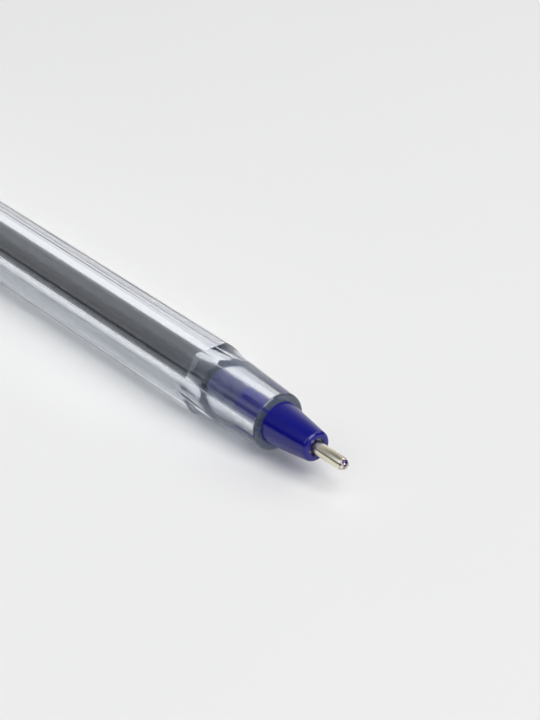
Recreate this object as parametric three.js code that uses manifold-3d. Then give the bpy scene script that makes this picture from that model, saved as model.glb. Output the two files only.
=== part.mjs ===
// A stick ballpoint pen with a clear hexagonal barrel, lying on its side, its cap posted on the tail.
// Units are millimetres. The pen runs along X with the writing tip towards +X, and Z is up.
// The origin is under the middle of the pen's length, level with the cap's underside.
//
// Every size is set once. Stations are places along the pen's axis: 0 is the barrel's front end
// face, and the tail is on the negative side.

import * as THREE from "three";
import { mergeVertices } from "three/addons/utils/BufferGeometryUtils.js";
import Module from "manifold-3d";

// Barrel: a hexagon with slightly bowed faces that narrows to a round nose and an equal round tail.
const barrelLength = 126;
const barrelAcrossCorners = 9.24;
const barrelFaceBow = 0.45;
const boreRadius = 1.95;
const boreLeadIn = 0.12;
const endFaceRadius = 3.5;
const endEdgeRound = 0.28;
const taperLength = 10.9;
const taperRootRadius = 4.16;
const shoulderAngle = 19;

// Nose cone: the coloured cone in front of the barrel, its ribbed plug and its barbed stem.
const coneLength = 6.8;
const coneBaseRadius = 2.66;
const coneEndRadius = 1.86;
const coneLipRound = 0.5;
const coneUndercut = 0.16;
const plugLength = 4.9;
const stemLength = 5.3;
const stemTipChamfer = 0.12;
const barbHeight = 0.08;
const barbLength = 0.6;
const barbDistances = [2.2, 4.2];
const inkPassageRadius = 0.6;

// Four lengthwise ribs grip the bore, on the nose plug and on the end plug alike.
const ribCount = 4;
const ribWidth = 0.45;
const ribRootDepth = 0.3;
const ribTurn = 37;
const ribSetback = 0.35;

// Metal tip: a shank inside the nose cone, and a thinner nose that ends in the ball's socket.
const tipNoseRadius = 0.775;
const tipReach = 4.95;
const tipShankRadius = 1.05;
const tipShankLength = 4.6;
const tipShankRecess = 0.6;
const tipChannelRadius = 0.24;
const tipTaperLength = 0.5;
const tipRimRadius = 0.54;
const tipRimAdvance = 0.16;
const ballRadius = 0.35;

// Refill: a translucent tube pushed over the barbed stem, the ink in it, and a plug of clear grease.
const tubeWall = 0.38;
const roomBehindTube = 7.1;
const emptyTubeLength = 9.6;
const greaseLength = 5;
const meniscusDepth = 0.5;

// End plug: closes the tail, with a vent that lets air in behind the ink.
const endPlugHeadRadius = 2.7;
const endPlugHeadThickness = 1.2;
const endPlugHeadRound = 0.5;
const endPlugShankLength = 6;
const endPlugVentRadius = 0.5;

// Cap: a vented six-sided sleeve with rounded corners and a straight band at its mouth.
const capLength = 47;
const capBandLength = 9;
const capBandWall = 0.94;
const capEndWall = 1.3;
const capCornerRound = 0.42;
const capEndRound = 1.1;
const capEndThickness = 1.6;
const capBoreEndRadius = 3.35;
const capVentRadius = 1.1;

// Pocket clip, moulded in one with the cap.
const clipWidth = 3.6;
const clipThickness = 1.2;
const clipGap = 0.9;
const clipReach = 39;
const clipRootLength = 3.4;
const clipBend = 1.1;
const clipNubLength = 3.2;
const clipNubHeight = 0.5;
const clipToeRise = 0.5;

// Clearances between pieces that fit into or against one another.
const pressClearance = 0.04;
const plugClearance = 0.09;
const tubeClearance = 0.12;
const stemClearance = 0.05;
const fillClearance = 0.04;
const ballClearance = 0.03;
const capClearance = 0.07;
const faceClearance = 0.05;
const capSeatClearance = 0.3;

// How finely round surfaces are divided.
const facetsPerFace = 5;
const envelopeSegments = 60;
const roundSegments = 48;
const tipSegments = 32;
const ballSegments = 24;
const ballRings = 16;
const arcSteps = 5;

// Stations worked out from the sizes above.
const frontFace = 0;
const tailFace = frontFace - barrelLength;
const coneBack = frontFace + faceClearance;
const coneEnd = coneBack + coneLength;
const plugEnd = coneBack - plugLength;
const stemEnd = plugEnd - stemLength;
const tipShankFront = coneEnd - tipShankRecess;
const tipTail = tipShankFront - tipShankLength;
const tipSeat = tipTail - faceClearance;
const tipEnd = coneEnd + tipReach;
const ballStation = tipEnd - ballRadius;
const endPlugShankEnd = tailFace + endPlugShankLength;
const tubeFront = plugEnd - faceClearance;
const tubeTail = endPlugShankEnd + roomBehindTube;
const greaseTail = tubeTail + emptyTubeLength;
const greaseFront = greaseTail + greaseLength;
const inkTail = greaseFront + faceClearance;
const inkFront = stemEnd - faceClearance;
const plugHeadFront = tailFace - faceClearance;
const plugHeadEnd = plugHeadFront - endPlugHeadThickness;
const capMouth = tailFace + taperLength - capSeatClearance;
const capEnd = capMouth - capLength;
const capFloor = capEnd + capEndThickness;

// Radii worked out from the sizes above.
const ribTip = boreRadius - pressClearance;
const plugRadius = boreRadius - plugClearance;
const tubeRadius = boreRadius - tubeClearance;
const tubeBore = tubeRadius - tubeWall;
const fillRadius = tubeBore - fillClearance;
const stemRadius = tubeBore - stemClearance - barbHeight;
const socketRadius = ballRadius + ballClearance;
const capMouthRadius = taperRadius(capMouth - tailFace) + capClearance;
const capFlatRadius = capMouthRadius + capBandWall;
const capEndFlatRadius = capBoreEndRadius + capEndWall;

// The barrel and the cap have six faces, one of them underneath.
const faceCount = 6;
const faceTurn = (2 * Math.PI) / faceCount;

const wasm = await Module();
wasm.setup();

// A closed geometry as a solid that can be joined and cut.
function solidFrom(geometry) {
  const bare = geometry.index ? geometry.toNonIndexed() : geometry.clone();
  bare.deleteAttribute("normal");
  bare.deleteAttribute("uv");
  const mergeDistance = 1e-5;
  const merged = mergeVertices(bare, mergeDistance);
  const corners = [];
  for (let i = 0; i < merged.index.count; i += 3) {
    const [a, b, c] = [0, 1, 2].map((k) => merged.index.getX(i + k));
    // Triangles that meet the axis of a turned shape collapse to a line and are left out.
    if (a !== b && b !== c && a !== c) corners.push(a, b, c);
  }
  return new wasm.Manifold(
    new wasm.Mesh({
      numProp: 3,
      vertProperties: merged.attributes.position.array,
      triVerts: new Uint32Array(corners),
    }),
  );
}

// A solid as a geometry with flat-shaded faces.
function geometryFrom(solid) {
  const { numProp, numVert, vertProperties, triVerts } = solid.getMesh();
  const positions = new Float32Array(numVert * 3);
  for (let i = 0; i < numVert; i++) {
    positions.set(vertProperties.subarray(i * numProp, i * numProp + 3), i * 3);
  }
  const geometry = new THREE.BufferGeometry();
  geometry.setAttribute("position", new THREE.BufferAttribute(positions, 3));
  geometry.setIndex(new THREE.BufferAttribute(triVerts, 1));
  const faceted = geometry.toNonIndexed();
  faceted.computeVertexNormals();
  return faceted;
}

// A shape turned about the pen's axis. The profile is a list of [radius, station] points in rising
// station along its outside, which starts and ends on the axis or closes on itself.
function turned(profile, segments) {
  const points = profile.map(([radius, station]) => new THREE.Vector2(radius, station));
  const lathe = new THREE.LatheGeometry(points, segments);
  return solidFrom(lathe.rotateZ(-Math.PI / 2));
}

// An outline drawn in a plane across the pen, as [y, z] points, drawn out from one station forwards.
function drawnAlongPen(outline, fromStation, length) {
  const prism = new THREE.ExtrudeGeometry(outline, { depth: length, bevelEnabled: false });
  const alongPen = new THREE.Matrix4().makeBasis(
    new THREE.Vector3(0, 1, 0),
    new THREE.Vector3(0, 0, 1),
    new THREE.Vector3(1, 0, 0),
  );
  return solidFrom(prism.applyMatrix4(alongPen).translate(fromStation, 0, 0));
}

// Points along an arc about [radius, station], where 0 degrees points away from the axis and 90
// degrees points forwards along it.
function arc([radius, station], arcRadius, fromDegrees, toDegrees) {
  const points = [];
  for (let i = 0; i <= arcSteps; i++) {
    const degrees = fromDegrees + ((toDegrees - fromDegrees) * i) / arcSteps;
    const angle = THREE.MathUtils.degToRad(degrees);
    points.push([radius + arcRadius * Math.cos(angle), station + arcRadius * Math.sin(angle)]);
  }
  return points;
}

// The same profile turned end for end about a station, still in rising station.
function endForEnd(profile, station) {
  return profile.map(([radius, at]) => [radius, 2 * station - at]).reverse();
}

// Radius of the barrel's round end at a distance from its end face.
function taperRadius(distance) {
  return endFaceRadius + ((taperRootRadius - endFaceRadius) * distance) / taperLength;
}

// The grip ribs between two stations, added to a plug.
function withGripRibs(plug, fromStation, toStation) {
  const height = ribTip - plugRadius + ribRootDepth;
  let ribbed = plug;
  for (let i = 0; i < ribCount; i++) {
    const rib = new THREE.BoxGeometry(toStation - fromStation, ribWidth, height);
    rib.translate((fromStation + toStation) / 2, 0, ribTip - height / 2);
    rib.rotateX(THREE.MathUtils.degToRad(ribTurn - 90 + (360 / ribCount) * i));
    ribbed = ribbed.add(solidFrom(rib));
  }
  return ribbed;
}

// The barrel's straight stock: six bowed faces that meet in crisp edges, with faces above and below.
function barrelStock() {
  const edgeRadius = barrelAcrossCorners / 2;
  const faceHalfWidth = edgeRadius * Math.sin(faceTurn / 2);
  const faceDistance = edgeRadius * Math.cos(faceTurn / 2);
  const section = new THREE.Shape();
  for (let face = 0; face < faceCount; face++) {
    const facing = (face + 0.5) * faceTurn;
    for (let step = 0; step < facetsPerFace; step++) {
      const across = (2 * step) / facetsPerFace - 1;
      const out = faceDistance + barrelFaceBow * (1 - across * across);
      const along = faceHalfWidth * across;
      const y = out * Math.cos(facing) - along * Math.sin(facing);
      const z = out * Math.sin(facing) + along * Math.cos(facing);
      if (face + step === 0) section.moveTo(y, z);
      else section.lineTo(y, z);
    }
  }
  section.closePath();
  return drawnAlongPen(section, tailFace, barrelLength);
}

// The round envelope that trims the stock: end face, rounded edge, taper, then a shoulder that runs
// out past the edges of the hexagon.
function barrelEnvelope() {
  const clear = barrelAcrossCorners / 2 + barrelFaceBow;
  const shoulderSlope = Math.tan(THREE.MathUtils.degToRad(shoulderAngle));
  const shoulderRun = (clear - taperRootRadius) / shoulderSlope;
  const edgeCentre = [endFaceRadius - endEdgeRound, tailFace + endEdgeRound];
  const tail = [
    [0, tailFace],
    ...arc(edgeCentre, endEdgeRound, -90, 0),
    [taperRootRadius, tailFace + taperLength],
    [clear, tailFace + taperLength + shoulderRun],
  ];
  const nose = endForEnd(tail, (tailFace + frontFace) / 2);
  return turned([...tail, ...nose], envelopeSegments);
}

// The bore runs right through and opens a little at both mouths.
function barrelBore() {
  const tail = [
    [0, tailFace - boreLeadIn],
    [boreRadius + 2 * boreLeadIn, tailFace - boreLeadIn],
    [boreRadius, tailFace + boreLeadIn],
  ];
  const nose = endForEnd(tail, (tailFace + frontFace) / 2);
  return turned([...tail, ...nose], roundSegments);
}

function makeBarrel() {
  return barrelStock().intersect(barrelEnvelope()).subtract(barrelBore());
}

// Barbs on the stem: each rises towards the nose and ends in a step that bites into the tube.
function barbProfile() {
  const points = [];
  for (const distance of [...barbDistances].reverse()) {
    const step = plugEnd - distance;
    points.push([stemRadius, step - barbLength]);
    points.push([stemRadius + barbHeight, step]);
    points.push([stemRadius, step + barbHeight]);
  }
  return points;
}

function makeNoseCone() {
  const lipCentre = [coneEndRadius - coneLipRound, coneEnd - coneLipRound];
  const slope = Math.atan((coneBaseRadius - coneEndRadius) / (coneLength - coneLipRound));
  const shankBore = tipShankRadius + pressClearance;
  const profile = [
    [inkPassageRadius, stemEnd],
    [stemRadius - stemTipChamfer, stemEnd],
    [stemRadius, stemEnd + stemTipChamfer],
    ...barbProfile(),
    [stemRadius, plugEnd],
    [plugRadius, plugEnd],
    [plugRadius, coneBack],
    [coneBaseRadius - coneUndercut, coneBack],
    [coneBaseRadius, coneBack + coneUndercut],
    ...arc(lipCentre, coneLipRound, THREE.MathUtils.radToDeg(slope), 90),
    [shankBore, coneEnd],
    [shankBore, tipSeat],
    [inkPassageRadius, tipSeat],
    [inkPassageRadius, stemEnd],
  ];
  const cone = turned(profile, roundSegments);
  return withGripRibs(cone, plugEnd + ribSetback, coneBack - ribSetback);
}

function makeTipBody() {
  const rim = ballStation + tipRimAdvance;
  const rimDegrees = THREE.MathUtils.radToDeg(Math.asin(tipRimAdvance / socketRadius));
  const seatDegrees = -THREE.MathUtils.radToDeg(Math.acos(tipChannelRadius / socketRadius));
  const profile = [
    [tipChannelRadius, tipTail],
    [tipShankRadius, tipTail],
    [tipShankRadius, tipShankFront],
    [tipNoseRadius, tipShankFront],
    [tipNoseRadius, rim - tipTaperLength],
    [tipRimRadius, rim],
    ...arc([0, ballStation], socketRadius, rimDegrees, seatDegrees),
    [tipChannelRadius, tipTail],
  ];
  return turned(profile, tipSegments);
}

function makeBall() {
  const ball = new THREE.SphereGeometry(ballRadius, ballSegments, ballRings);
  return solidFrom(ball.translate(ballStation, 0, 0));
}

function makeInkTube() {
  const profile = [
    [tubeBore, tubeTail],
    [tubeRadius, tubeTail],
    [tubeRadius, tubeFront],
    [tubeBore, tubeFront],
    [tubeBore, tubeTail],
  ];
  return turned(profile, roundSegments);
}

// What fills the tube between two stations. Its tail end is hollow, as a liquid clings to the wall,
// and its front end bulges into whatever hollow lies before it.
function tubeFilling(tail, front, frontBulge) {
  const profile = [
    [0, tail + meniscusDepth],
    [fillRadius, tail],
    [fillRadius, front],
    [0, front + frontBulge],
  ];
  return turned(profile, roundSegments);
}

function makeInkColumn() {
  const flat = 0;
  return tubeFilling(inkTail, inkFront, flat);
}

function makeGreaseFollower() {
  return tubeFilling(greaseTail, greaseFront, meniscusDepth);
}

function makeEndPlug() {
  const headCentre = [endPlugHeadRadius - endPlugHeadRound, plugHeadEnd + endPlugHeadRound];
  const profile = [
    [endPlugVentRadius, plugHeadEnd],
    ...arc(headCentre, endPlugHeadRound, -90, 0),
    [endPlugHeadRadius, plugHeadFront],
    [plugRadius, plugHeadFront],
    [plugRadius, endPlugShankEnd],
    [endPlugVentRadius, endPlugShankEnd],
    [endPlugVentRadius, plugHeadEnd],
  ];
  const plug = turned(profile, roundSegments);
  return withGripRibs(plug, tailFace + ribSetback, endPlugShankEnd - ribSetback);
}

// The cap's inside: it follows the barrel's tail, then narrows to the floor of the closed end.
function capCavity() {
  const overMouth = capMouth + capEndRound;
  return turned(
    [
      [0, capEnd - capEndRound],
      [capVentRadius, capEnd - capEndRound],
      [capVentRadius, capFloor],
      [capBoreEndRadius, capFloor],
      [endFaceRadius + capClearance, tailFace],
      [capMouthRadius, capMouth],
      [taperRadius(overMouth - tailFace) + capClearance, overMouth],
      [0, overMouth],
    ],
    roundSegments,
  );
}

// The cap's outside: a six-sided taper behind a straight band, trimmed round at the corners and end.
function capSleeve() {
  const bandBack = capMouth - capBandLength;
  const cornerScale = 1 / Math.cos(faceTurn / 2);
  const sides = turned(
    [
      [0, capEnd],
      [capEndFlatRadius * cornerScale, capEnd],
      [capFlatRadius * cornerScale, bandBack],
      [capFlatRadius * cornerScale, capMouth],
      [0, capMouth],
    ],
    faceCount,
  );
  const endRadius = capEndFlatRadius + capCornerRound;
  const bandRadius = capFlatRadius + capCornerRound;
  const corners = turned(
    [
      [0, capEnd],
      ...arc([endRadius - capEndRound, capEnd + capEndRound], capEndRound, -90, 0),
      [bandRadius, bandBack],
      [bandRadius, capMouth],
      [0, capMouth],
    ],
    envelopeSegments,
  );
  const flatsUnder = THREE.MathUtils.radToDeg(faceTurn / 2);
  return sides.rotate([flatsUnder, 0, 0]).intersect(corners);
}

// The clip's side view: a root at the closed end, a straight arm that stands off the sleeve, and a
// toe with a nub under it.
function pocketClip() {
  const underside = capFlatRadius + clipGap;
  const top = underside + clipThickness;
  const root = capEnd + capEndRound;
  const armStart = root + clipRootLength;
  const toe = root + clipReach;
  const nubStart = toe - clipNubLength;
  const rootDepth = capBoreEndRadius;
  const side = new THREE.Shape();
  side.moveTo(root, rootDepth);
  side.lineTo(root, top - clipBend);
  side.quadraticCurveTo(root, top, root + clipBend, top);
  side.lineTo(nubStart, top);
  side.lineTo(toe, top + clipToeRise);
  side.lineTo(toe, underside + clipToeRise);
  side.lineTo(toe - clipNubLength / 2, underside - clipNubHeight);
  side.lineTo(nubStart, underside);
  side.lineTo(armStart, underside);
  side.lineTo(armStart, rootDepth);
  side.closePath();
  const arm = new THREE.ExtrudeGeometry(side, {
    depth: clipWidth,
    bevelEnabled: false,
    curveSegments: arcSteps,
  });
  arm.translate(0, 0, -clipWidth / 2);
  return solidFrom(arm.rotateX(Math.PI / 2));
}

function makeCap() {
  return capSleeve().add(pocketClip()).subtract(capCavity());
}

function clearPlastic() {
  return new THREE.MeshStandardMaterial({
    color: 0xe6eaee,
    roughness: 0.05,
    metalness: 0,
    transparent: true,
    opacity: 0.3,
  });
}

function blueGlossPlastic() {
  return new THREE.MeshStandardMaterial({ color: 0x1c1f8c, roughness: 0.25, metalness: 0 });
}

function milkyTubePlastic() {
  return new THREE.MeshStandardMaterial({
    color: 0xc4c8ce,
    roughness: 0.45,
    metalness: 0,
    transparent: true,
    opacity: 0.45,
  });
}

function darkInk() {
  return new THREE.MeshStandardMaterial({ color: 0x14141c, roughness: 0.3, metalness: 0 });
}

function paleGrease() {
  return new THREE.MeshStandardMaterial({ color: 0xd8d2b8, roughness: 0.2, metalness: 0 });
}

function nickelSilver() {
  return new THREE.MeshStandardMaterial({ color: 0xd0c8b0, roughness: 0.22, metalness: 1 });
}

function inkyBall() {
  return new THREE.MeshStandardMaterial({ color: 0x8c86a0, roughness: 0.12, metalness: 1 });
}

const pieces = {
  barrel: [makeBarrel, clearPlastic],
  nose_cone: [makeNoseCone, blueGlossPlastic],
  tip_body: [makeTipBody, nickelSilver],
  ball: [makeBall, inkyBall],
  ink_tube: [makeInkTube, milkyTubePlastic],
  ink_column: [makeInkColumn, darkInk],
  grease_follower: [makeGreaseFollower, paleGrease],
  end_plug: [makeEndPlug, blueGlossPlastic],
  cap: [makeCap, blueGlossPlastic],
};

const pen = new THREE.Group();
for (const [name, [makeSolid, makeMaterial]] of Object.entries(pieces)) {
  const mesh = new THREE.Mesh(geometryFrom(makeSolid()), makeMaterial());
  mesh.name = name;
  pen.add(mesh);
}
pen.position.set(-(tipEnd + capEnd) / 2, 0, capFlatRadius);

const part = new THREE.Group();
part.add(pen);

export default part;
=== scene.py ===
"""The looks of a stick ballpoint pen with a clear barrel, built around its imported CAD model.

Everything is in metres in the CAD model's own frame: the pen lies along X with its tip towards +X,
and Z is up. A place along the pen is its X, and a radius is a distance from the pen's axis.
"""
import math

import bpy
from bpy.props import FloatProperty, FloatVectorProperty, IntProperty, PointerProperty
from mathutils import Matrix, Vector


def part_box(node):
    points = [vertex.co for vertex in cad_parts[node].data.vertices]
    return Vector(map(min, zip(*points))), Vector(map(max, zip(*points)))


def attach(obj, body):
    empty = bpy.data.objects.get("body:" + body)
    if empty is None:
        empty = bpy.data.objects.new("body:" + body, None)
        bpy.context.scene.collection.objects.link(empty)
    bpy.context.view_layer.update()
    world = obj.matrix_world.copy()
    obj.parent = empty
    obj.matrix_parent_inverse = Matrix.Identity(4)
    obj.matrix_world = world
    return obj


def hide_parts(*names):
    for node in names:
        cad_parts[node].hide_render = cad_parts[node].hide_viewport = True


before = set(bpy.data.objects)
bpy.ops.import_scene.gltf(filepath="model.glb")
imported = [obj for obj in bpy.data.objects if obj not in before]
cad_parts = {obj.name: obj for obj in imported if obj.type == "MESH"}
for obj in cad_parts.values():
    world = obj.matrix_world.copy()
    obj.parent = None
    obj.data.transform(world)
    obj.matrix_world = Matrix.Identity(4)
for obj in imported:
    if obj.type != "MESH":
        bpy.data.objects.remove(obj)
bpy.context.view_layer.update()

bl_info = {
    "name": "Clear stick pen",
    "version": (1, 0, 0),
    "blender": (4, 5, 0),
    "location": "View3D > Sidebar > Pen",
    "description": "Models the visible pieces of a clear stick ballpoint pen, its finishes and a studio",
    "category": "Add Mesh",
}

MM = 0.001

# Places that the CAD model gives.
BARREL_LOW, BARREL_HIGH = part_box("barrel")
BALL_LOW, BALL_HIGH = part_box("ball")
TIP_LOW, TIP_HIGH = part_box("tip_body")
TUBE_LOW, TUBE_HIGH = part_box("ink_tube")
INK_LOW, INK_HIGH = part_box("ink_column")
GREASE_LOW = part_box("grease_follower")[0]
CONE_LOW, CONE_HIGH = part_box("nose_cone")
PLUG_LOW, PLUG_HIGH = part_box("end_plug")
CAP_LOW, CAP_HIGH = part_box("cap")

FRONT_FACE = BARREL_HIGH.x
TAIL_FACE = BARREL_LOW.x
BARREL_MIDDLE = (TAIL_FACE + FRONT_FACE) / 2
AXIS_HEIGHT = (BALL_LOW.z + BALL_HIGH.z) / 2
AXIS = Vector((0, 0, AXIS_HEIGHT))
BALL_CENTRE = (BALL_LOW.x + BALL_HIGH.x) / 2
BALL_RADIUS = (BALL_HIGH.x - BALL_LOW.x) / 2
CAP_MOUTH = CAP_HIGH.x
CAP_END = CAP_LOW.x
CAP_FLAT_RADIUS = AXIS_HEIGHT - CAP_LOW.z
BARREL_HALF_HEIGHT = (BARREL_HIGH.z - BARREL_LOW.z) / 2

# The barrel and the cap have six sides.
SIDES = 6
HALF_SIDE_TURN = math.pi / SIDES

# Points nearer to one another than this are one point.
JOIN_DISTANCE = 0.0005 * MM

# Length of the tip's end on which ink has dried.
INKED_LENGTH = 0.3 * MM

# Share of the scattered light that goes on through a hazy surface.
FORWARD_SHARE = 0.9

# How deep the frosting on the barrel's end faces reaches.
END_FACE_DEPTH = 0.02 * MM

# The part of the barrel that a hand and the cap wear, and how gently the wear starts at its ends.
GRIP_BACK = FRONT_FACE - 17 * MM
GRIP_FRONT = FRONT_FACE - 4 * MM
GRIP_BACK_FADE = 6 * MM
GRIP_FRONT_FADE = 4 * MM

# How far behind the stem's end the ink tube begins to stretch, and how much clearer that makes it.
STRETCH_LENGTH = 4 * MM
STRETCH_CLEARING = 0.8

# Width of a patch's soft edge, as a share of the noise's range.
PATCH_EDGE = 0.18

# Reflections of the room dim between these two values of their direction's X.
SHADE_START = -0.56
SHADE_FULL = -0.44

# Width of the floor, and the nearest distance that the camera shows, both in metres.
FLOOR_SIZE = 8
NEAREST_VIEW = 0.01

# How often light may bounce: the clear pieces have many walls to cross.
LIGHT_BOUNCES = 16


def display_colour(red, green, blue):
    """A colour as a screen shows it, 0 to 255, in the linear values that shaders use."""
    channels = (channel / 255 for channel in (red, green, blue))
    return tuple(c / 12.92 if c <= 0.04045 else ((c + 0.055) / 1.055) ** 2.4 for c in channels)


def length(name, millimetres, description):
    """A property that holds a length, whose default is given in millimetres."""
    return FloatProperty(
        name=name,
        description=description,
        default=millimetres * MM,
        min=0.0,
        precision=5,
        subtype="DISTANCE",
        unit="LENGTH",
    )


def angle(name, degrees, description):
    """A property that holds an angle, whose default is given in degrees."""
    return FloatProperty(
        name=name, description=description, default=math.radians(degrees), subtype="ANGLE"
    )


def number(name, value, description):
    """A property that holds a plain number."""
    return FloatProperty(name=name, description=description, default=value)


def colour(name, channels, description):
    """A property that holds a colour, whose default is given as a screen shows it."""
    return FloatVectorProperty(
        name=name,
        description=description,
        default=display_colour(*channels),
        min=0.0,
        max=1.0,
        size=3,
        subtype="COLOR",
    )


class BarrelSizes(bpy.types.PropertyGroup):
    across_corners: length("Across corners", 9.24, "Width of the hexagon from edge to edge")
    face_bow: length("Face bow", 0.45, "How far the middle of each face stands out of a flat one")
    bore: length("Bore radius", 1.95, "Radius of the hole that holds the refill")
    bore_lead_in: length("Bore lead-in", 0.12, "How far the bore's mouths are opened")
    end_radius: length("End face radius", 3.5, "Radius of the barrel's flat ends")
    end_round: length("End edge round", 0.28, "Radius of the edge round each end face")
    taper_length: length("Taper length", 10.9, "Length of the round end in front of the faces")
    taper_root: length("Taper root radius", 4.16, "Radius of the round end where the faces begin")
    shoulder_fillet: length("Shoulder fillet", 12, "Radius where the round end meets its slope")
    shoulder: angle("Shoulder angle", 14, "Slope from the round end out to the hexagon's edges")
    edge_round: length("Edge round", 0.6, "Radius of the hexagon's edges")


class NoseSizes(bpy.types.PropertyGroup):
    cone_length: length("Cone length", 6.8, "Length of the cone in front of the barrel")
    base_radius: length("Cone base radius", 2.66, "Radius of the cone where it meets the barrel")
    end_radius: length("Cone end radius", 1.86, "Radius of the cone at its front lip")
    lip_round: length("Lip round", 0.5, "Radius of the rounding at the cone's front lip")
    undercut: length("Undercut", 0.16, "Height of the small step under the cone's base")
    plug_length: length("Plug length", 4.9, "Length of the ribbed plug in the bore")
    plug_radius: length("Plug radius", 1.86, "Radius of the plug between its ribs")
    stem_radius: length("Stem radius", 1.46, "Radius of the stem, which the tube grips")
    barb_height: length("Barb height", 0.08, "How far each barb stands out of the stem")
    barb_length: length("Barb length", 0.6, "Length of the slope on each barb")
    first_barb: length("First barb", 2.2, "Distance from the plug to the first barb")
    second_barb: length("Second barb", 4.2, "Distance from the plug to the second barb")
    passage: length("Ink passage", 0.6, "Radius of the hole for the ink")
    rib_width: length("Rib width", 0.45, "Width of each lengthwise grip rib")
    rib_bite: length("Rib bite", 0.03, "How far the ribs press into the wall of the bore")
    rib_edge: length("Rib edge", 0.081, "Width of the bevel on a rib's edges")
    rib_setback: length("Rib setback", 0.35, "Plain length at each end of a rib")
    rib_turn: angle("Rib turn", 37, "Turn of the first rib above the horizontal")
    rib_count: IntProperty(name="Ribs", description="Grip ribs round a plug", default=4, min=1)


class TipSizes(bpy.types.PropertyGroup):
    nose_radius: length("Tip nose radius", 0.775, "Radius of the metal tip in front of the cone")
    shank_radius: length("Shank radius", 1.05, "Radius of the tip's shank inside the cone")
    shank_recess: length("Shank recess", 0.6, "How far the shank sits behind the cone's lip")
    taper_length: length("Tip taper length", 0.5, "Length of the taper at the ball's end")
    rim_radius: length("Rim radius", 0.54, "Outer radius of the rim that holds the ball")
    ink_channel: length("Ink channel radius", 0.24, "Radius of the hole that feeds the ball")
    ball_gap: length("Ball gap", 0.015, "Space between the ball and its rim")


class RefillSizes(bpy.types.PropertyGroup):
    tube_radius: length("Tube radius", 1.83, "Outer radius of the ink tube")
    tube_wall: length("Tube wall", 0.38, "Wall of the ink tube")
    wetting: length("Wetting", 0.01, "How far the ink reaches into the tube's wall")
    meniscus: length("Meniscus", 0.5, "Depth of the hollow in the ink's tail end")


class EndSizes(bpy.types.PropertyGroup):
    head_radius: length("Plug head radius", 2.7, "Radius of the end plug's head")
    head_round: length("Plug head round", 0.5, "Rounding of the end plug's head")
    head_thickness: length("Plug head thickness", 1.2, "Thickness of the end plug's head")
    vent_radius: length("Plug vent radius", 0.5, "Radius of the end plug's air vent")


class CapSizes(bpy.types.PropertyGroup):
    band_length: length("Band length", 9, "Length of the straight band at the cap's mouth")
    end_flat: length("End flat radius", 4.65, "Distance of the faces from the axis at the end")
    corner_round: length("Corner round", 0.42, "How far the rounded corners pass the faces")
    end_round: length("End round", 1.1, "Rounding of the closed end")
    end_thickness: length("End thickness", 1.6, "Thickness of the closed end")
    bore_end: length("Inner end radius", 3.35, "Radius of the inside at the closed end")
    bore_middle: length("Inner middle radius", 3.57, "Radius of the inside at the barrel's end")
    bore_mouth: length("Inner mouth radius", 4.212, "Radius of the inside at the mouth")
    vent_radius: length("Vent radius", 1.1, "Radius of the hole in the closed end")
    clip_width: length("Clip width", 3.6, "Width of the pocket clip")
    clip_thickness: length("Clip thickness", 1.2, "Thickness of the clip's arm")
    clip_reach: length("Clip reach", 39, "Length of the clip from its root")
    clip_root: length("Clip root length", 3.4, "Length of the clip's root on the cap")
    clip_gap: length("Clip gap", 0.9, "Space between the clip and the cap's band")
    nub_length: length("Nub length", 3.2, "Length of the nub under the clip's toe")
    nub_height: length("Nub height", 0.5, "Height of the nub under the clip's toe")
    toe_rise: length("Toe rise", 0.5, "How far the clip's toe turns up")
    edge_round: length("Edge round", 0.25, "Rounding of the cap's and the clip's edges")


class PenColours(bpy.types.PropertyGroup):
    clear: colour("Clear plastic", (248, 251, 255), "Tint of the barrel")
    haze: colour("Haze", (205, 219, 250), "Light that the clear pieces scatter")
    blue: colour("Blue plastic", (14, 16, 118), "Nose cone, end plug and cap")
    tube: colour("Ink tube", (200, 208, 212), "Light that the ink tube's wall scatters")
    tube_clear: colour("Clear tube", (238, 240, 241), "Light that the ink tube's wall lets through")
    ink: colour("Ink", (16, 16, 24), "Ink seen in depth")
    ink_film: colour("Ink film", (70, 30, 110), "Thin ink on the ball")
    grease: colour("Grease", (226, 220, 196), "Grease behind the ink")
    nickel: colour("Nickel silver", (236, 229, 208), "Metal tip")


class StudioSettings(bpy.types.PropertyGroup):
    floor: colour("Floor", (238, 238, 238), "Floor")
    key: number("Key", 2.4, "Radiance of the lamp overhead")
    front: number("Front", 3.7, "Radiance of the lamp in front")
    near_fill: number("Near fill", 1.15, "Radiance of the lamp on the near side")
    far_fill: number("Far fill", 1.4, "Radiance of the lamp on the far side")
    near_wall: number("Near wall", 0.55, "The near wall as gloss and clear plastic show it")
    far_wall: number("Far wall", 1.0, "The far wall as gloss and clear plastic show it")
    floor_glow: number("Floor glow", 0.65, "Share of the walls' light passed on to the floor")
    front_shade: number("Front shade", 0.85, "How much the room's front is dimmed in reflections")
    backdrop: number("Backdrop", 0.86, "The backdrop as it is seen")
    lamp_size: length("Lamp size", 1800, "Width and height of each lamp")
    lamp_distance: length("Lamp distance", 2400, "Distance of each lamp from the barrel's front")
    lens: number("Lens", 111.44, "Focal length in millimetres")
    azimuth: angle("Azimuth", 51.891, "Turn of the view from the pen's near side to its tip")
    elevation: angle("Elevation", 29.146, "Height of the view above the horizontal")
    distance: length("View distance", 250.423, "Distance from the camera to the barrel's front")
    aside: length("View aside", 0.989, "How far left of the barrel's front the camera aims")
    above: length("View above", 7.025, "How far above the barrel's front the camera aims")


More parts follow.
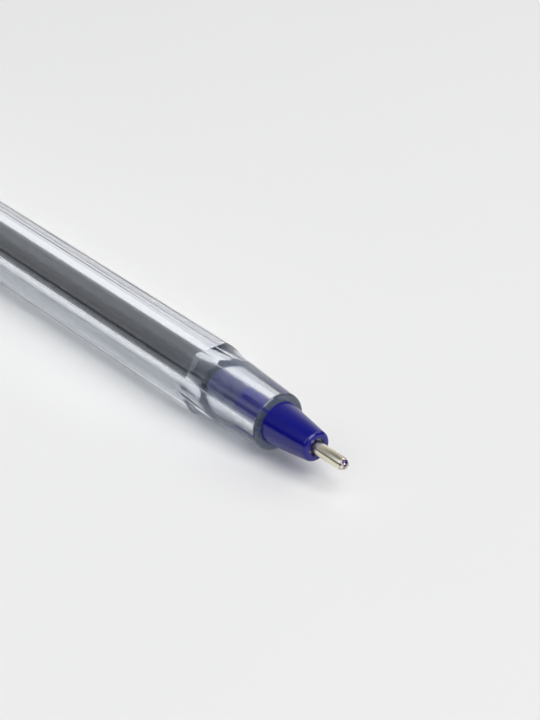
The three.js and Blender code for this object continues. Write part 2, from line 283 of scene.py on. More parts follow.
class PenSettings(bpy.types.PropertyGroup):
    barrel: PointerProperty(type=BarrelSizes, name="Barrel", description="Sizes of the barrel")
    nose: PointerProperty(type=NoseSizes, name="Nose", description="Sizes of the nose cone")
    tip: PointerProperty(type=TipSizes, name="Tip", description="Sizes of the metal tip")
    refill: PointerProperty(type=RefillSizes, name="Refill", description="Sizes of the refill")
    end: PointerProperty(type=EndSizes, name="End plug", description="Sizes of the end plug")
    cap: PointerProperty(type=CapSizes, name="Cap", description="Sizes of the cap")
    colours: PointerProperty(type=PenColours, name="Colours", description="Colours of the pen")
    studio: PointerProperty(type=StudioSettings, name="Studio", description="Light and camera")


class Signal:
    """A shader node's output that Python's operators turn into Math nodes."""

    def __init__(self, tree, socket=None):
        self.tree = tree
        self.socket = socket

    def node(self, kind, settings=None, sockets=None, output=0):
        """Adds a node: first its settings, then the values or links of its sockets."""
        made = self.tree.nodes.new(kind)
        for name, value in (settings or {}).items():
            if name == "stops":
                set_ramp_stops(made.color_ramp, value)
            else:
                setattr(made, name, value)
        for key, value in (sockets or {}).items():
            if isinstance(value, Signal):
                self.tree.links.new(value.socket, made.inputs[key])
            else:
                made.inputs[key].default_value = value
        return Signal(self.tree, made.outputs[output] if made.outputs else None)

    def also(self, output):
        """Another output of the same node."""
        return Signal(self.tree, self.socket.node.outputs[output])

    def maths(self, operation, first, second):
        """A Math node's result."""
        return self.node("ShaderNodeMath", {"operation": operation}, {0: first, 1: second})

    def __add__(self, other):
        return self.maths("ADD", self, other)

    def __radd__(self, other):
        return self.maths("ADD", other, self)

    def __sub__(self, other):
        return self.maths("SUBTRACT", self, other)

    def __rsub__(self, other):
        return self.maths("SUBTRACT", other, self)

    def __mul__(self, other):
        return self.maths("MULTIPLY", self, other)

    def __rmul__(self, other):
        return self.maths("MULTIPLY", other, self)


def set_ramp_stops(ramp, stops):
    """Replaces a colour ramp's stops with (position, grey) pairs."""
    while len(ramp.elements) > 1:
        ramp.elements.remove(ramp.elements[-1])
    for index, (position, grey) in enumerate(stops):
        stop = ramp.elements[0] if index == 0 else ramp.elements.new(position)
        stop.position = position
        stop.color = (grey, grey, grey, 1)


class Finish:
    """A new node material: its nodes start from `start`, and `use` gives it its shader."""

    def __init__(self, name):
        self.material = bpy.data.materials.new(name)
        self.material.use_nodes = True
        self.material.node_tree.nodes.clear()
        self.start = Signal(self.material.node_tree)

    def noise(self, scale, stretch=1.0, detail=2.0):
        """Noise of 0 to 1, with so many bumps to a metre, drawn out along the pen by the stretch."""
        place = self.start.node("ShaderNodeTexCoord", output="Object")
        drawn = self.start.node(
            "ShaderNodeMapping", None, {"Vector": place, "Scale": (1 / stretch, 1, 1)}
        )
        sockets = {"Vector": drawn, "Scale": scale, "Detail": detail}
        return self.start.node("ShaderNodeTexNoise", None, sockets)

    def patches(self, scale, least):
        """Soft-edged patches of 1 where noise passes a least value."""
        stops = {"stops": ((least, 0.0), (least + PATCH_EDGE, 1.0))}
        noise = self.noise(scale, detail=3.0)
        return self.start.node("ShaderNodeValToRGB", stops, {"Fac": noise})

    def passing(self, start, end):
        """A ramp along the pen, from 0 at one place to 1 at another."""
        here = self.start.node("ShaderNodeTexCoord", output="Object")
        along = self.start.node("ShaderNodeSeparateXYZ", None, {"Vector": here}, "X")
        return self.start.node("ShaderNodeMapRange", None, {0: along, 1: start, 2: end})

    def tone(self, base, by, amount):
        """A colour that a signal makes darker and lighter by an amount."""
        dark = [channel * (1 - amount) for channel in base] + [1]
        light = [min(1, channel * (1 + amount)) for channel in base] + [1]
        return self.blend(by, dark, light)

    def blend(self, by, first, second):
        """One colour passing into another as a signal goes from 0 to 1."""
        mix = self.start.node("ShaderNodeMix", {"data_type": "RGBA"}, {"Factor": by})
        node = mix.socket.node
        for socket, value in ((node.inputs[6], first), (node.inputs[7], second)):
            if isinstance(value, Signal):
                self.start.tree.links.new(value.socket, socket)
            else:
                socket.default_value = value
        return Signal(self.start.tree, node.outputs[2])

    def bump(self, height, strength, distance):
        """A normal that follows a height, for the shader's Normal socket."""
        sockets = {"Height": height, "Strength": strength, "Distance": distance}
        return self.start.node("ShaderNodeBump", None, sockets)

    def haze(self, clear, tint, amount):
        """Part of a clear surface made to scatter light, as fine scratches and flow marks do."""
        scatter = {"Color": (*tint, 1)}
        ways = {
            0: FORWARD_SHARE,
            1: self.start.node("ShaderNodeBsdfDiffuse", None, scatter),
            2: self.start.node("ShaderNodeBsdfTranslucent", None, scatter),
        }
        cloudy = self.start.node("ShaderNodeMixShader", None, ways)
        return self.start.node("ShaderNodeMixShader", None, {0: amount, 1: clear, 2: cloudy})

    def use(self, cloud=None, **sockets):
        """Gives the material a Principled shader, under haze of a colour and amount if given."""
        named = {}
        for name, value in sockets.items():
            plain_colour = isinstance(value, tuple)
            named[name.replace("_", " ")] = (*value, 1) if plain_colour else value
        shader = self.start.node("ShaderNodeBsdfPrincipled", None, named)
        if cloud:
            shader = self.haze(shader, *cloud)
        self.start.node("ShaderNodeOutputMaterial", None, {"Surface": shader})
        return self.material


def water_clear_plastic(colours):
    """Water-clear polystyrene: glossy, worn where it is held and frosted on its end faces."""
    finish = Finish("water_clear_plastic")
    waves = finish.noise(scale=320, stretch=90, detail=1)
    scratches = finish.patches(scale=5200, least=0.6)
    past_back = finish.passing(GRIP_BACK, GRIP_BACK + GRIP_BACK_FADE)
    before_front = finish.passing(GRIP_FRONT, GRIP_FRONT - GRIP_FRONT_FADE)
    grip_wear = past_back * before_front
    front_end = finish.passing(FRONT_FACE - END_FACE_DEPTH, FRONT_FACE)
    tail_end = finish.passing(TAIL_FACE + END_FACE_DEPTH, TAIL_FACE)
    end_faces = front_end + tail_end
    cloudiness = 0.02 + 0.02 * scratches + 0.06 * grip_wear + 0.12 * end_faces
    return finish.use(
        cloud=(tuple(colours.haze), cloudiness),
        Base_Color=tuple(colours.clear),
        Roughness=0.012 + 0.02 * finish.noise(scale=900, stretch=30) + 0.2 * end_faces,
        IOR=1.59,
        Transmission_Weight=1.0,
        Normal=finish.bump(waves, strength=0.04, distance=0.06 * MM),
    )


def blue_plastic(colours):
    """Deep blue moulded plastic with a soft sheen and a trace of flow marks."""
    finish = Finish("blue_plastic")
    return finish.use(
        Base_Color=finish.tone(tuple(colours.blue), finish.noise(scale=420, stretch=3), 0.12),
        Roughness=0.16 + 0.06 * finish.noise(scale=1500, detail=4),
        IOR=1.5,
        Normal=finish.bump(finish.noise(scale=2600, detail=3), strength=0.12, distance=0.02 * MM),
    )


def milky_tube_wall(colours):
    """Translucent extruded tube: streaked and a little milky, and clearer over the stem."""
    finish = Finish("milky_tube_wall")
    streaks = finish.noise(scale=2200, stretch=160, detail=3)
    specks = finish.patches(scale=6000, least=0.55)
    stretched = STRETCH_CLEARING * finish.passing(CONE_LOW.x - STRETCH_LENGTH, CONE_LOW.x)
    cloudiness = (0.02 + 0.08 * streaks + 0.12 * specks) * (1 - stretched)
    return finish.use(
        cloud=(tuple(colours.tube), cloudiness),
        Base_Color=finish.tone(tuple(colours.tube_clear), streaks, 0.1),
        Roughness=0.06 + 0.1 * streaks,
        IOR=1.5,
        Transmission_Weight=1.0,
        Normal=finish.bump(streaks, strength=0.04, distance=0.03 * MM),
    )


def dark_ink(colours):
    """Paste ink that looks nearly black in depth."""
    finish = Finish("dark_ink")
    return finish.use(
        Base_Color=finish.tone(tuple(colours.ink), finish.noise(scale=900, stretch=20), 0.4),
        Roughness=0.25 + 0.1 * finish.noise(scale=1200),
        IOR=1.5,
    )


def pale_grease(colours):
    """The short plug of clear grease behind the ink."""
    finish = Finish("pale_grease")
    return finish.use(
        Base_Color=finish.tone(tuple(colours.grease), finish.noise(scale=700), 0.1),
        Roughness=0.2 + 0.1 * finish.noise(scale=900),
        Transmission_Weight=0.5,
    )


def nickel_silver(colours):
    """Turned nickel silver with fine rings left by the lathe, and ink dried round the rim."""
    finish = Finish("nickel_silver")
    place = finish.start.node("ShaderNodeTexCoord", output="Object")
    wave = {"wave_type": "BANDS", "bands_direction": "X"}
    rings = finish.start.node(
        "ShaderNodeTexWave", wave, {"Vector": place, "Scale": 3600, "Distortion": 1.5}
    )
    metal = finish.tone(tuple(colours.nickel), finish.noise(scale=1500), 0.08)
    rim = finish.passing(TIP_HIGH.x - INKED_LENGTH, TIP_HIGH.x - INKED_LENGTH / 2)
    inked = rim * finish.patches(scale=2400, least=0.4)
    return finish.use(
        Base_Color=finish.blend(inked, metal, (*colours.ink_film, 1)),
        Roughness=0.24 + 0.06 * rings,
        Metallic=1.0,
        Normal=finish.bump(rings, strength=0.1, distance=0.01 * MM),
    )


def inked_ball(colours):
    """Polished hard metal with a film of violet ink left on it in patches."""
    finish = Finish("inked_ball")
    film = finish.patches(scale=2400, least=0.42)
    return finish.use(
        Base_Color=finish.blend(film, (*colours.nickel, 1), (*colours.ink_film, 1)),
        Roughness=0.08 + 0.12 * film,
        Metallic=1.0,
    )


def finish_of(make):
    """The material that a function makes, made once and shared by the pieces that wear it."""
    return bpy.data.materials.get(make.__name__) or make(bpy.context.scene.pen.colours)


def start_mesh(name, corner):
    """A new active object, open in edit mode, that holds one selected vertex."""
    bpy.ops.object.select_all(action="DESELECT")
    bpy.ops.mesh.primitive_plane_add(size=MM)
    piece = bpy.context.object
    piece.name = name
    bpy.ops.object.mode_set(mode="EDIT")
    bpy.ops.mesh.merge(type="CENTER")
    bpy.ops.transform.translate(value=corner)
    return piece


def draw_to(corners, start):
    """Extrudes the selected vertex from a start through a list of corners."""
    here = Vector(start)
    for corner in corners:
        step = Vector(corner) - here
        bpy.ops.mesh.extrude_vertices_move(TRANSFORM_OT_translate={"value": step})
        here = Vector(corner)


def close_mesh():
    """Joins what meets in the open mesh, points its faces outwards and leaves edit mode."""
    bpy.ops.mesh.select_all(action="SELECT")
    bpy.ops.mesh.remove_doubles(threshold=JOIN_DISTANCE)
    bpy.ops.mesh.select_all(action="SELECT")
    bpy.ops.mesh.normals_make_consistent(inside=False)
    bpy.ops.object.mode_set(mode="OBJECT")


def turned(name, profile, turns=128, first_turn=0.0):
    """A closed solid turned about the pen's axis from (radius, place along X) points."""
    across = math.sin(first_turn)
    up = math.cos(first_turn)
    corners = [(x, radius * across, AXIS_HEIGHT + radius * up) for radius, x in profile]
    piece = start_mesh(name, corners[0])
    draw_to(corners[1:], corners[0])
    bpy.ops.mesh.select_all(action="SELECT")
    bpy.ops.mesh.spin(steps=turns, angle=math.tau, center=AXIS, axis=(1, 0, 0))
    close_mesh()
    return piece


def arc(centre, radius, from_degrees, to_degrees, steps=8):
    """Points round (radius, place): 0 degrees is away from the axis and 90 is towards the tip."""
    points = []
    for step in range(steps + 1):
        turn = math.radians(from_degrees + (to_degrees - from_degrees) * step / steps)
        points.append((centre[0] + radius * math.cos(turn), centre[1] + radius * math.sin(turn)))
    return points


def end_for_end(profile, middle):
    """The same profile turned end for end about a place along the pen."""
    return [(radius, 2 * middle - x) for radius, x in reversed(profile)]


def combine(piece, tool, operation):
    """Joins, cuts or trims a piece with a tool, which is used up."""
    bpy.ops.object.select_all(action="DESELECT")
    bpy.context.view_layer.objects.active = piece
    piece.select_set(True)
    bpy.ops.object.modifier_add(type="BOOLEAN")
    boolean = piece.modifiers[-1]
    boolean.operation = operation
    boolean.solver = "EXACT"
    boolean.object = tool
    bpy.ops.object.modifier_apply(modifier=boolean.name)
    bpy.data.objects.remove(tool)
    return piece


def bevel_edges(piece, width, least_degrees, segments):
    """Rounds the edges that turn by more than an angle."""
    bpy.ops.object.select_all(action="DESELECT")
    bpy.context.view_layer.objects.active = piece
    piece.select_set(True)
    bpy.ops.object.modifier_add(type="BEVEL")
    bevel = piece.modifiers[-1]
    bevel.width = width
    bevel.segments = segments
    bevel.limit_method = "ANGLE"
    bevel.angle_limit = math.radians(least_degrees)
    bpy.ops.object.modifier_apply(modifier=bevel.name)
    return piece


def dress(piece, material, body, node, smooth_degrees=30):
    """Gives a piece its finish in a material slot, its smooth shading and its body in the frame, and
    hides the CAD node that it stands in for.
    """
    bpy.ops.object.select_all(action="DESELECT")
    bpy.context.view_layer.objects.active = piece
    piece.select_set(True)
    bpy.ops.object.transform_apply(location=True, rotation=True, scale=True)
    bpy.ops.object.shade_smooth_by_angle(angle=math.radians(smooth_degrees))
    piece.data.materials.clear()
    piece.data.materials.append(material)
    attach(piece, body)
    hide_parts(node)


def hexagonal_bar(name, sizes, from_x, to_x):
    """A six-sided bar with bowed faces, one of them on top, and rounded edges between them."""
    edge_radius = sizes.across_corners / 2
    half_width = edge_radius * math.sin(HALF_SIDE_TURN)
    face_distance = edge_radius * math.cos(HALF_SIDE_TURN)
    arc_radius = (half_width**2 + sizes.face_bow**2) / (2 * sizes.face_bow)
    arc_centre = AXIS + Vector((from_x, 0, face_distance + sizes.face_bow - arc_radius))
    face_turn = 2 * math.asin(half_width / arc_radius)
    bar = start_mesh(name, AXIS + Vector((from_x, -half_width, face_distance)))
    bpy.ops.mesh.spin(steps=14, angle=face_turn, center=arc_centre, axis=(1, 0, 0))
    bpy.ops.mesh.select_all(action="SELECT")
    bpy.ops.mesh.spin(steps=SIDES, dupli=True, angle=math.tau, center=AXIS, axis=(1, 0, 0))
    bpy.ops.mesh.select_all(action="SELECT")
    bpy.ops.mesh.remove_doubles(threshold=JOIN_DISTANCE)
    bpy.ops.mesh.select_all(action="SELECT")
    bpy.ops.mesh.edge_face_add()
    along = {"value": (to_x - from_x, 0, 0)}
    bpy.ops.mesh.extrude_region_move(TRANSFORM_OT_translate=along)
    bpy.ops.mesh.select_mode(type="EDGE")
    bpy.ops.mesh.select_all(action="DESELECT")
    bpy.ops.object.mode_set(mode="OBJECT")
    points = bar.data.vertices
    for edge in bar.data.edges:
        ends = [points[index].co for index in edge.vertices]
        long = abs(ends[0].x - ends[1].x) > (to_x - from_x) / 2
        out = math.hypot(ends[0].y, ends[0].z - AXIS_HEIGHT)
        edge.select = long and out > edge_radius - JOIN_DISTANCE
    bpy.ops.object.mode_set(mode="EDIT")
    bpy.ops.mesh.bevel(offset=sizes.edge_round, segments=5)
    bpy.ops.mesh.select_mode(type="VERT")
    close_mesh()
    return bar


def grip_ribs(piece, nose, bore, from_x, to_x):
    """Adds the lengthwise ribs that grip the bore to a plug, each with bevelled edges."""
    crest = bore + nose.rib_bite
    root = nose.plug_radius - nose.rib_width
    size = (to_x - from_x, nose.rib_width, crest - root)
    middle = Vector(((from_x + to_x) / 2, 0, (root + crest) / 2))
    for index in range(nose.rib_count):
        turn = nose.rib_turn - math.pi / 2 + math.tau * index / nose.rib_count
        place = AXIS + Matrix.Rotation(turn, 3, "X") @ middle
        bpy.ops.object.select_all(action="DESELECT")
        bpy.ops.mesh.primitive_cube_add(size=1, location=place, rotation=(turn, 0, 0), scale=size)
        rib = bpy.context.object
        bpy.ops.object.transform_apply(location=True, rotation=True, scale=True)
        bpy.ops.object.mode_set(mode="EDIT")
        bpy.ops.mesh.bevel(offset=nose.rib_edge, segments=2)
        bpy.ops.object.mode_set(mode="OBJECT")
        combine(piece, rib, "UNION")


def barrel_profile(sizes):
    """The round ends: a flat face, a rounded edge, a taper, and a shoulder out past the edges."""
    clear = sizes.across_corners / 2 + sizes.face_bow
    run = (clear - sizes.taper_root) / math.tan(sizes.shoulder)
    edge = (sizes.end_radius - sizes.end_round, TAIL_FACE + sizes.end_round)
    root = (sizes.taper_root, TAIL_FACE + sizes.taper_length)
    taper = math.atan2(root[0] - sizes.end_radius, root[1] - edge[1])
    half_turn = (sizes.shoulder - taper) / 2
    reach = sizes.shoulder_fillet * math.tan(half_turn)
    middle = (
        root[0] - reach * math.sin(taper) + sizes.shoulder_fillet * math.cos(taper),
        root[1] - reach * math.cos(taper) - sizes.shoulder_fillet * math.sin(taper),
    )
    turns = (180 - math.degrees(taper), 180 - math.degrees(sizes.shoulder))
    tail = [
        (0, TAIL_FACE),
        *arc(edge, sizes.end_round, -90, 0, steps=12),
        *arc(middle, sizes.shoulder_fillet, *turns, steps=8),
        (clear, TAIL_FACE + sizes.taper_length + run),
    ]
    return tail + end_for_end(tail, BARREL_MIDDLE)


def bore_profile(sizes):
    """The bore, run on past both ends and opened a little at its mouths."""
    past = sizes.bore_lead_in
    tail = [
        (0, TAIL_FACE - past),
        (sizes.bore + 2 * past, TAIL_FACE - past),
        (sizes.bore, TAIL_FACE + past),
    ]
    return tail + end_for_end(tail, BARREL_MIDDLE)


class PEN_OT_barrel(bpy.types.Operator):
    """Model the clear barrel: a bowed six-sided bar, trimmed round at its ends and bored through"""

    bl_idname = "pen.barrel"
    bl_label = "Barrel"

    def execute(self, context):
        sizes = context.scene.pen.barrel
        past = sizes.end_round
        barrel = hexagonal_bar("clear_barrel", sizes, TAIL_FACE - past, FRONT_FACE + past)
        combine(barrel, turned("barrel_envelope", barrel_profile(sizes)), "INTERSECT")
        combine(barrel, turned("barrel_bore", bore_profile(sizes)), "DIFFERENCE")
        clear = finish_of(water_clear_plastic)
        dress(barrel, clear, "barrel", "barrel", smooth_degrees=9)
        return {"FINISHED"}


class PEN_OT_nose_cone(bpy.types.Operator):
    """Model the nose cone: the cone, its ribbed plug in the bore and its barbed stem in the tube"""

    bl_idname = "pen.nose_cone"
    bl_label = "Nose cone"

    def execute(self, context):
        nose = context.scene.pen.nose
        tip = context.scene.pen.tip
        front = CONE_HIGH.x
        base = front - nose.cone_length
        plug_end = base - nose.plug_length
        lip = (nose.end_radius - nose.lip_round, front - nose.lip_round)
        slope = math.atan((nose.base_radius - nose.end_radius) / (nose.cone_length - nose.lip_round))
        shank_bore = tip.shank_radius + nose.rib_bite
        barbs = []
        for distance in (nose.second_barb, nose.first_barb):
            step = plug_end - distance
            barbs.append((nose.stem_radius, step - nose.barb_length))
            barbs.append((nose.stem_radius + nose.barb_height, step))
            barbs.append((nose.stem_radius, step + nose.barb_height))
        profile = [
            (nose.passage, CONE_LOW.x),
            (nose.stem_radius - nose.barb_height, CONE_LOW.x),
            (nose.stem_radius, CONE_LOW.x + nose.barb_height),
            *barbs,
            (nose.stem_radius, plug_end),
            (nose.plug_radius, plug_end),
            (nose.plug_radius, base),
            (nose.base_radius - nose.undercut, base),
            (nose.base_radius, base + nose.undercut),
            *arc(lip, nose.lip_round, math.degrees(slope), 90, steps=10),
            (shank_bore, front),
            (shank_bore, TIP_LOW.x),
            (nose.passage, TIP_LOW.x),
            (nose.passage, CONE_LOW.x),
        ]
        cone = turned("moulded_nose_cone", profile)
        bore = context.scene.pen.barrel.bore
        grip_ribs(cone, nose, bore, plug_end + nose.rib_setback, base - nose.rib_setback)
        dress(cone, finish_of(blue_plastic), "refill", "nose_cone")
        return {"FINISHED"}


class PEN_OT_tip(bpy.types.Operator):
    """Model the turned metal tip and the inked ball in its socket"""

    bl_idname = "pen.tip"
    bl_label = "Metal tip and ball"

    def execute(self, context):
        tip = context.scene.pen.tip
        shank_front = CONE_HIGH.x - tip.shank_recess
        socket = BALL_RADIUS + tip.ball_gap
        rim = TIP_HIGH.x
        rim_turn = math.degrees(math.asin((rim - BALL_CENTRE) / socket))
        seat_turn = -math.degrees(math.acos(tip.ink_channel / socket))
        profile = [
            (tip.ink_channel, TIP_LOW.x),
            (tip.shank_radius, TIP_LOW.x),
            (tip.shank_radius, shank_front),
            (tip.nose_radius, shank_front),
            (tip.nose_radius, rim - tip.taper_length),
            (tip.rim_radius, rim),
            *arc((0, BALL_CENTRE), socket, rim_turn, seat_turn, steps=12),
            (tip.ink_channel, TIP_LOW.x),
        ]
        metal = turned("turned_tip", profile)
        dress(metal, finish_of(nickel_silver), "refill", "tip_body")
        outline = arc((0, BALL_CENTRE), BALL_RADIUS, -90, 90, steps=32)
        ball = turned("writing_ball", outline, turns=64)
        dress(ball, finish_of(inked_ball), "ball", "ball")
        return {"FINISHED"}


class PEN_OT_refill(bpy.types.Operator):
    """Model the ink tube, the ink that wets its wall and the grease behind the ink"""

    bl_idname = "pen.refill"
    bl_label = "Ink tube and filling"

    def execute(self, context):
        sizes = context.scene.pen.refill
        bore = sizes.tube_radius - sizes.tube_wall
        outline = [
            (bore, TUBE_LOW.x),
            (sizes.tube_radius, TUBE_LOW.x),
            (sizes.tube_radius, TUBE_HIGH.x),
            (bore, TUBE_HIGH.x),
            (bore, TUBE_LOW.x),
        ]
        tube = turned("milky_ink_tube", outline)
        dress(tube, finish_of(milky_tube_wall), "refill", "ink_tube")
        fill = bore + sizes.wetting
        hollow = arc_dish(fill, INK_LOW.x, sizes.meniscus)
        ink = turned("ink_in_tube", [*hollow, (fill, INK_HIGH.x), (0, INK_HIGH.x)])
        dress(ink, finish_of(dark_ink), "refill", "ink_column")
        hollow = arc_dish(fill, GREASE_LOW.x, sizes.meniscus)
        bulge = [(r, INK_LOW.x + x - GREASE_LOW.x) for r, x in reversed(hollow)]
        grease = turned("grease_plug", [*hollow, *bulge])
        dress(grease, finish_of(pale_grease), "refill", "grease_follower")
        return {"FINISHED"}


def arc_dish(radius, rim_x, depth):
    """A shallow round hollow from the axis out to its rim."""
    curve = (radius**2 + depth**2) / (2 * depth)
    edge_turn = math.degrees(math.asin(radius / curve))
    return [
        (r, rim_x + depth - curve + x)
        for r, x in arc((0, 0), curve, 90, 90 - edge_turn, steps=8)
    ]


class PEN_OT_end_plug(bpy.types.Operator):
    """Model the ribbed plug that closes the barrel's tail, with its air vent"""

    bl_idname = "pen.end_plug"
    bl_label = "End plug"

    def execute(self, context):
        end = context.scene.pen.end
        nose = context.scene.pen.nose
        under_head = PLUG_LOW.x + end.head_thickness
        rim = (end.head_radius - end.head_round, PLUG_LOW.x + end.head_round)
        profile = [
            (end.vent_radius, PLUG_LOW.x),
            *arc(rim, end.head_round, -90, 0),
            (end.head_radius, under_head),
            (nose.plug_radius, under_head),
            (nose.plug_radius, PLUG_HIGH.x),
            (end.vent_radius, PLUG_HIGH.x),
            (end.vent_radius, PLUG_LOW.x),
        ]
        plug = turned("moulded_end_plug", profile)
        bore = context.scene.pen.barrel.bore
        grip_ribs(plug, nose, bore, TAIL_FACE + nose.rib_setback, PLUG_HIGH.x - nose.rib_setback)
        dress(plug, finish_of(blue_plastic), "barrel", "end_plug")
        return {"FINISHED"}


def cap_sleeve(cap):
    """The cap's outside: a six-sided taper behind a straight band, round at corners and end."""
    band_back = CAP_MOUTH - cap.band_length
    to_corner = 1 / math.cos(HALF_SIDE_TURN)
    faces = [
        (0, CAP_END),
        (cap.end_flat * to_corner, CAP_END),
        (CAP_FLAT_RADIUS * to_corner, band_back),
        (CAP_FLAT_RADIUS * to_corner, CAP_MOUTH),
        (0, CAP_MOUTH),
    ]
    sleeve = turned("moulded_cap", faces, turns=SIDES, first_turn=HALF_SIDE_TURN)
    end_radius = cap.end_flat + cap.corner_round
    band_radius = CAP_FLAT_RADIUS + cap.corner_round
    corners = [
        (0, CAP_END),
        *arc((end_radius - cap.end_round, CAP_END + cap.end_round), cap.end_round, -90, 0),
        (band_radius, band_back),
        *arc((band_radius - cap.edge_round, CAP_MOUTH - cap.edge_round), cap.edge_round, 0, 90),
        (0, CAP_MOUTH),
    ]
    return combine(sleeve, turned("cap_corners", corners), "INTERSECT")


def pocket_clip(cap):
    """The clip: its side view drawn as an outline, drawn out sideways and rounded all round."""
    underside = AXIS_HEIGHT + CAP_FLAT_RADIUS + cap.clip_gap
    top = underside + cap.clip_thickness
    root = CAP_END + cap.end_round
    arm_start = root + cap.clip_root
    toe = root + cap.clip_reach
    nub_start = toe - cap.nub_length
    inside = AXIS_HEIGHT + cap.bore_end
    side = -cap.clip_width / 2
    outline = [
        (root, side, inside),
        (root, side, top - cap.clip_thickness),
        (root + cap.clip_thickness * 0.25, side, top - cap.clip_thickness * 0.3),
        (root + cap.clip_thickness, side, top),
        (nub_start, side, top),
        (toe, side, top + cap.toe_rise),
        (toe, side, underside + cap.toe_rise),
        (toe - cap.nub_length / 2, side, underside - cap.nub_height),
        (nub_start, side, underside),
        (arm_start + cap.edge_round, side, underside),
        (arm_start, side, underside - cap.edge_round),
        (arm_start, side, inside),
    ]
    clip = start_mesh("pocket_clip", outline[0])
    draw_to([*outline[1:], outline[0]], outline[0])
    bpy.ops.mesh.select_all(action="SELECT")
    bpy.ops.mesh.remove_doubles(threshold=JOIN_DISTANCE)
    bpy.ops.mesh.select_all(action="SELECT")
    bpy.ops.mesh.edge_face_add()
    across = {"value": (0, cap.clip_width, 0)}
    bpy.ops.mesh.extrude_region_move(TRANSFORM_OT_translate=across)
    close_mesh()
    return bevel_edges(clip, cap.edge_round, least_degrees=20, segments=3)


def cap_cavity(cap):
    """The cap's inside and its vent, run on past the mouth and the closed end."""
    floor = CAP_END + cap.end_thickness
    past = cap.end_round
    slope = (cap.bore_mouth - cap.bore_middle) / (CAP_MOUTH - TAIL_FACE)
    lead_in = cap.edge_round
    return [
        (0, CAP_END - past),
        (cap.vent_radius, CAP_END - past),
        (cap.vent_radius, floor),
        (cap.bore_end, floor),
        (cap.bore_middle, TAIL_FACE),
        (cap.bore_mouth - slope * lead_in, CAP_MOUTH - lead_in),
        (cap.bore_mouth + lead_in / 2, CAP_MOUTH),
        (cap.bore_mouth + lead_in / 2, CAP_MOUTH + past),
        (0, CAP_MOUTH + past),
    ]


class PEN_OT_cap(bpy.types.Operator):
    """Model the vented cap with its pocket clip in one moulding"""

    bl_idname = "pen.cap"
    bl_label = "Cap"

    def execute(self, context):
        cap = context.scene.pen.cap
        sleeve = cap_sleeve(cap)
        combine(sleeve, pocket_clip(cap), "UNION")
        combine(sleeve, turned("cap_cavity", cap_cavity(cap)), "DIFFERENCE")
        blue = finish_of(blue_plastic)
        dress(sleeve, blue, "cap", "cap", smooth_degrees=22)
        return {"FINISHED"}


def light_the_room(studio):
    """The room as gloss and clear plastic see it: dim over the near side and bright over the far.

    The camera sees an even backdrop, and the lamps light the pen. The room adds only what gloss
    mirrors and what clear pieces pass on.
    """
    world = bpy.data.worlds.new("studio_room")
    world.use_nodes = True
    world.node_tree.nodes.clear()
    start = Signal(world.node_tree)
    way = start.node("ShaderNodeTexCoord", output="Generated")
    across = start.node("ShaderNodeSeparateXYZ", None, {"Vector": way}, "Y")
    height = across.also("Z")
    round_the_pen = start.maths("ARCTAN2", height, 0 - across) * (1 / math.pi)
    stops = {"stops": studio_walls(studio)}
    walls = start.node("ShaderNodeValToRGB", stops, {"Fac": round_the_pen})
    limits = {0: across.also("X"), 1: SHADE_START, 2: SHADE_FULL, 3: 0.0, 4: studio.front_shade}
    shade = start.node("ShaderNodeMapRange", None, limits)
    camera = start.node("ShaderNodeLightPath", output="Is Camera Ray")
    gloss = camera.also("Is Glossy Ray")
    through = camera.also("Is Transmission Ray")
    mirrored = gloss * (1 - through)
    scattered = start.maths("MINIMUM", camera.also("Diffuse Depth"), 1)
    seen = start.maths("MAXIMUM", gloss, through) * (1 - mirrored * shade)
    seen = seen * (1 - scattered * (1 - studio.floor_glow))
    strength = camera * studio.backdrop + seen * walls
    back = start.node("ShaderNodeBackground", None, {"Color": (1, 1, 1, 1), "Strength": strength})
    start.node("ShaderNodeOutputWorld", None, {"Surface": back})
    bpy.context.scene.world = world


def studio_walls(studio):
    """Brightness from the near side's horizon, over the pen, to the far side's horizon."""
    near = studio.near_wall
    far = studio.far_wall
    return (
        (0.09, 0.0),
        (0.13, near),
        (0.2, near),
        (0.25, near * 0.6),
        (0.32, near * 0.6),
        (0.37, near),
        (0.5, near * 1.1),
        (0.6, far * 0.68),
        (0.74, far * 0.72),
        (0.8, far),
        (1.0, far),
    )


def soft_light(name, radiance, tint, size, place, aim):
    """A square soft lamp of a given radiance and tint, turned towards a point."""
    lamp = bpy.data.lights.new(name, "AREA")
    lamp.shape = "SQUARE"
    lamp.color = tint
    lamp.size = size
    lamp.energy = radiance * math.pi * size**2
    holder = bpy.data.objects.new(name, lamp)
    holder.location = place
    holder.rotation_euler = (aim - place).to_track_quat("-Z", "Y").to_euler()
    bpy.context.collection.objects.link(holder)


def pale_floor(studio):
    """A matt, even floor with the faintest change of tone."""
    finish = Finish("pale_floor")
    return finish.use(
        Base_Color=finish.tone(tuple(studio.floor), finish.noise(scale=30), 0.004),
        Roughness=0.9,
        Specular_IOR_Level=0.0,
    )


def lay_floor(studio, barrel):
    """Lays the floor so that it touches the cap's band and the barrel's straight part."""
    rise = AXIS_HEIGHT - BARREL_HALF_HEIGHT
    tilt = math.atan2(rise, FRONT_FACE - barrel.taper_length - CAP_MOUTH)
    bpy.ops.object.select_all(action="DESELECT")
    bpy.ops.mesh.primitive_plane_add(
        size=FLOOR_SIZE, location=(CAP_MOUTH, 0, 0), rotation=(0, -tilt, 0)
    )
    bpy.ops.object.transform_apply(location=True, rotation=True, scale=True)
    floor = bpy.context.object
    floor.name = "pale_floor"
    floor.data.materials.append(pale_floor(studio))


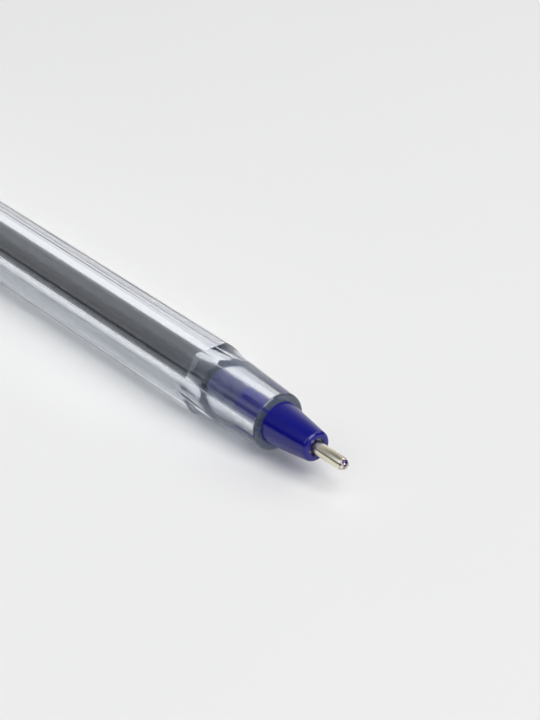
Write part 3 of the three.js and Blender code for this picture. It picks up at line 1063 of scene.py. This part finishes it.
def hang_lamps(studio, nose):
    """Hangs the four soft lamps round the barrel's front."""
    lamps = (
        ("key_lamp", studio.key, (1, 0.98, 0.96), (0.37, -0.05, 1)),
        ("front_lamp", studio.front, (1, 1, 1), (1, 0, 1)),
        ("near_fill", studio.near_fill, (0.86, 0.93, 1), (0, -1, 1)),
        ("far_fill", studio.far_fill, (1, 1, 1), (0, 1, 1)),
    )
    for name, radiance, tint, way in lamps:
        place = nose + Vector(way).normalized() * studio.lamp_distance
        soft_light(name, radiance, tint, studio.lamp_size, place, nose)


def place_camera(studio, nose):
    """Puts the camera at the photograph's angle, level and aimed close to the barrel's front."""
    lens = bpy.data.cameras.new("view")
    lens.lens = studio.lens
    lens.clip_start = NEAREST_VIEW
    camera = bpy.data.objects.new("view", lens)
    right = Vector((math.cos(studio.azimuth), math.sin(studio.azimuth), 0))
    back = Vector((right.y, -right.x, 0)) * math.cos(studio.elevation)
    back.z = math.sin(studio.elevation)
    up = back.cross(right)
    turn = Matrix((right, up, back)).transposed().to_4x4()
    place = nose + back * studio.distance - right * studio.aside + up * studio.above
    camera.matrix_world = Matrix.Translation(place) @ turn
    bpy.context.collection.objects.link(camera)
    bpy.context.scene.camera = camera


class PEN_OT_studio(bpy.types.Operator):
    """Set up the pale floor, the soft light and the camera"""

    bl_idname = "pen.studio"
    bl_label = "Studio"

    def execute(self, context):
        pen = context.scene.pen
        nose = Vector((FRONT_FACE, 0, AXIS_HEIGHT))
        light_the_room(pen.studio)
        lay_floor(pen.studio, pen.barrel)
        hang_lamps(pen.studio, nose)
        place_camera(pen.studio, nose)
        context.scene.view_settings.view_transform = "Standard"
        context.scene.cycles.blur_glossy = 0
        context.scene.cycles.max_bounces = LIGHT_BOUNCES
        context.scene.cycles.transmission_bounces = LIGHT_BOUNCES
        return {"FINISHED"}


class PEN_PT_panel(bpy.types.Panel):
    """Lists the pen's sizes and colours and the steps that build it"""

    bl_idname = "PEN_PT_panel"
    bl_label = "Clear stick pen"
    bl_space_type = "VIEW_3D"
    bl_region_type = "UI"
    bl_category = "Pen"

    def draw(self, context):
        pen = context.scene.pen
        for step, group in STEPS:
            box = self.layout.box()
            box.operator(step)
            values = getattr(pen, group)
            for name in values.__annotations__:
                box.prop(values, name)
        box = self.layout.box()
        for name in pen.colours.__annotations__:
            box.prop(pen.colours, name)


# Each step's operator and the group of settings that it reads first.
STEPS = (
    ("pen.barrel", "barrel"),
    ("pen.nose_cone", "nose"),
    ("pen.tip", "tip"),
    ("pen.refill", "refill"),
    ("pen.end_plug", "end"),
    ("pen.cap", "cap"),
    ("pen.studio", "studio"),
)

CLASSES = (
    BarrelSizes,
    NoseSizes,
    TipSizes,
    RefillSizes,
    EndSizes,
    CapSizes,
    PenColours,
    StudioSettings,
    PenSettings,
    PEN_OT_barrel,
    PEN_OT_nose_cone,
    PEN_OT_tip,
    PEN_OT_refill,
    PEN_OT_end_plug,
    PEN_OT_cap,
    PEN_OT_studio,
    PEN_PT_panel,
)


def register():
    for each in CLASSES:
        bpy.utils.register_class(each)
    bpy.types.Scene.pen = PointerProperty(type=PenSettings, name="Pen", description="The pen")


def unregister():
    del bpy.types.Scene.pen
    for each in reversed(CLASSES):
        bpy.utils.unregister_class(each)


def main():
    register()
    bpy.ops.pen.barrel()
    bpy.ops.pen.nose_cone()
    bpy.ops.pen.tip()
    bpy.ops.pen.refill()
    bpy.ops.pen.end_plug()
    bpy.ops.pen.cap()
    bpy.ops.pen.studio()


if __name__ == "__main__":
    main()
